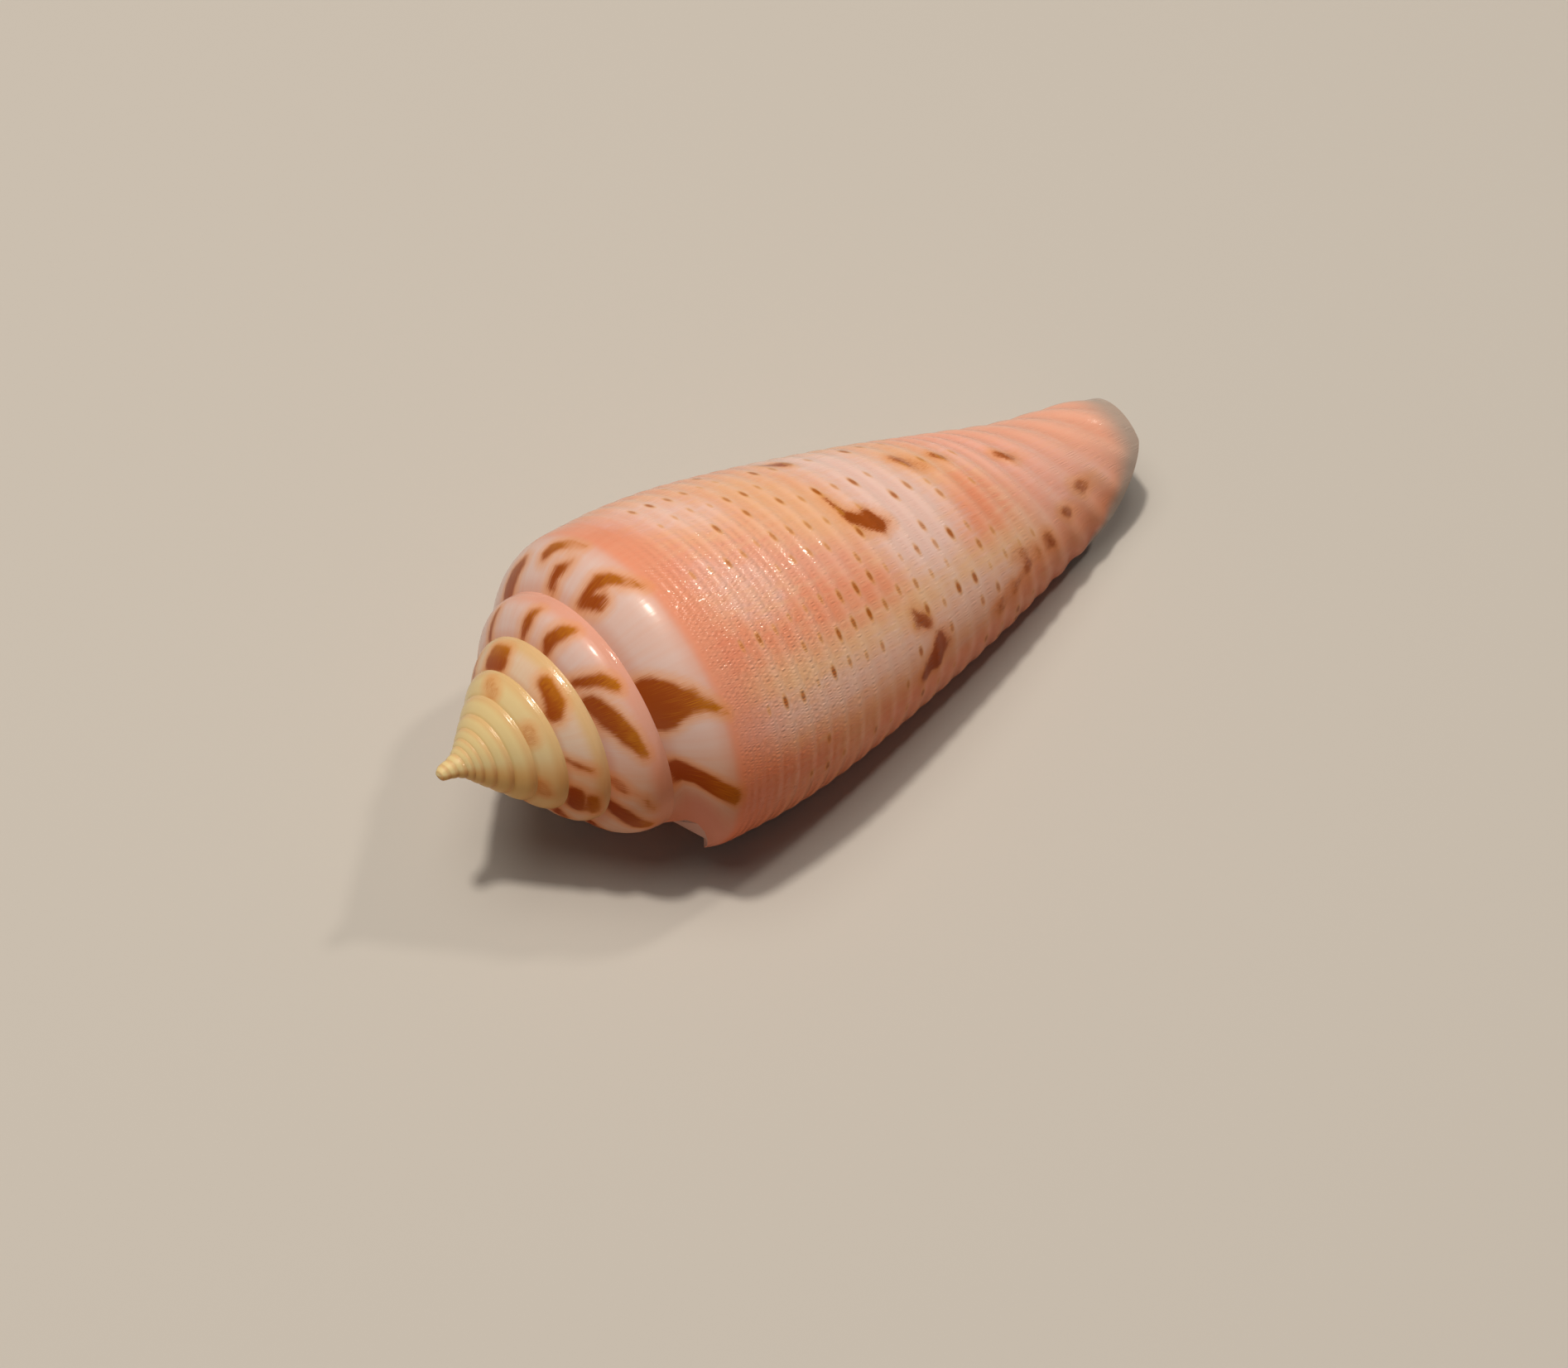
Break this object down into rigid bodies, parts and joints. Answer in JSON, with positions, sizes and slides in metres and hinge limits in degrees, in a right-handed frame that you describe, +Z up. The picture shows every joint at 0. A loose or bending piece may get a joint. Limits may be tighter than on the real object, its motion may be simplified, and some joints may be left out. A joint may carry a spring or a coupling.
{
  "type": "cone snail seashell",
  "caption": "Slender cone seashell with a stepped pointed spire, a corded salmon-pink body whorl and a narrow aperture, lying aperture down.",
  "frame": {"origin": "bottom centre of the bounding box, on the surface that the shell lies on", "axes": "+Z up, +X along the shell towards its front (canal) end, with the apex at -X; the aperture faces down and towards -Y"},
  "size_m": [0.0426, 0.017, 0.0161],
  "materials": {
    "shell": "polished natural shell, salmon pink with white clouds and brown flecks and blotches, satin gloss"
  },
  "bodies": {
    "root": {"shell": "shell"}
  },
  "joints": []
}
